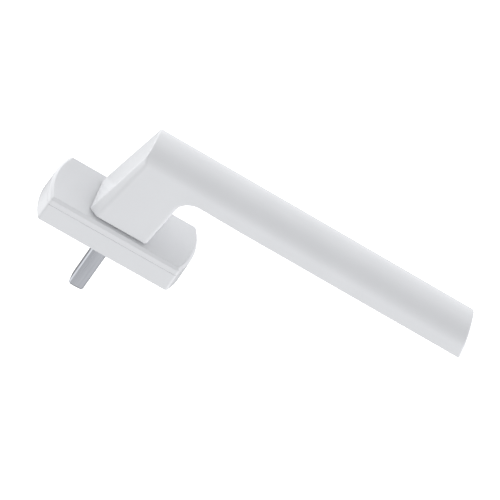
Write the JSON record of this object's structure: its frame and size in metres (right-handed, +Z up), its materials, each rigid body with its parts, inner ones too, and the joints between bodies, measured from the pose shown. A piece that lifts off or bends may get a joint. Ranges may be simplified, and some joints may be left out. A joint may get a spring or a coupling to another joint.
{
  "type": "window handle",
  "caption": "Lever window handle on a slim arched rosette, with a square spindle, for tilt-and-turn windows.",
  "frame": {"origin": "on the spindle's axis, in the plane of the rosette's back face", "axes": "+Y into the sash, along the spindle; -Y out to the room; +Z up, with the lever hanging down in the closed position; +X to the right seen from the room"},
  "size_m": [0.0292, 0.096, 0.181],
  "materials": {
    "white_lever": "satin white powder coat on die-cast aluminium",
    "white_base": "satin white powder coat",
    "white_cover": "satin white powder coat",
    "spindle_steel": "satin zinc plating",
    "spring_steel": "satin",
    "zinc_steel": "satin zinc plating",
    "cam_steel": "satin",
    "black_steel": "satin phosphated",
    "zinc_alloy": "satin die-cast zinc alloy",
    "acetal": "matte",
    "nylon": "matte"
  },
  "bodies": {
    "base": {"base_housing": "white_base", "deck_plate": "zinc_steel", "journal_bush": "acetal", "lug_sleeve_top": "zinc_alloy", "lug_sleeve_bottom": "zinc_alloy", "backing_plate": "zinc_steel", "plate_screw_1": "zinc_steel", "plate_screw_2": "zinc_steel", "plate_screw_3": "zinc_steel", "plate_screw_4": "zinc_steel", "detent_spring_left": "spring_steel", "detent_spring_right": "spring_steel"},
    "handle": {"handle_casting": "white_lever", "square_spindle": "spindle_steel", "spindle_roll_pin": "spring_steel", "thrust_washer": "acetal", "detent_cam": "cam_steel", "wave_washer": "spring_steel", "flat_washer": "zinc_steel", "retaining_ring": "black_steel"},
    "cover": {"cover_cap": "white_cover", "cover_carrier": "nylon", "cover_snap_ring": "spring_steel"}
  },
  "joints": [
    {"name": "handle_turn", "type": "hinge", "parent": "base", "child": "handle", "pos_m": [0, 0, 0], "axis": [0, -1, 0], "range_deg": [-180, 180], "deforming": ["detent_spring_left", "detent_spring_right"]},
    {"name": "cover_turn", "type": "hinge", "parent": "base", "child": "cover", "pos_m": [0, 0, 0], "axis": [0, -1, 0], "range_deg": [-90, 90]}
  ]
}
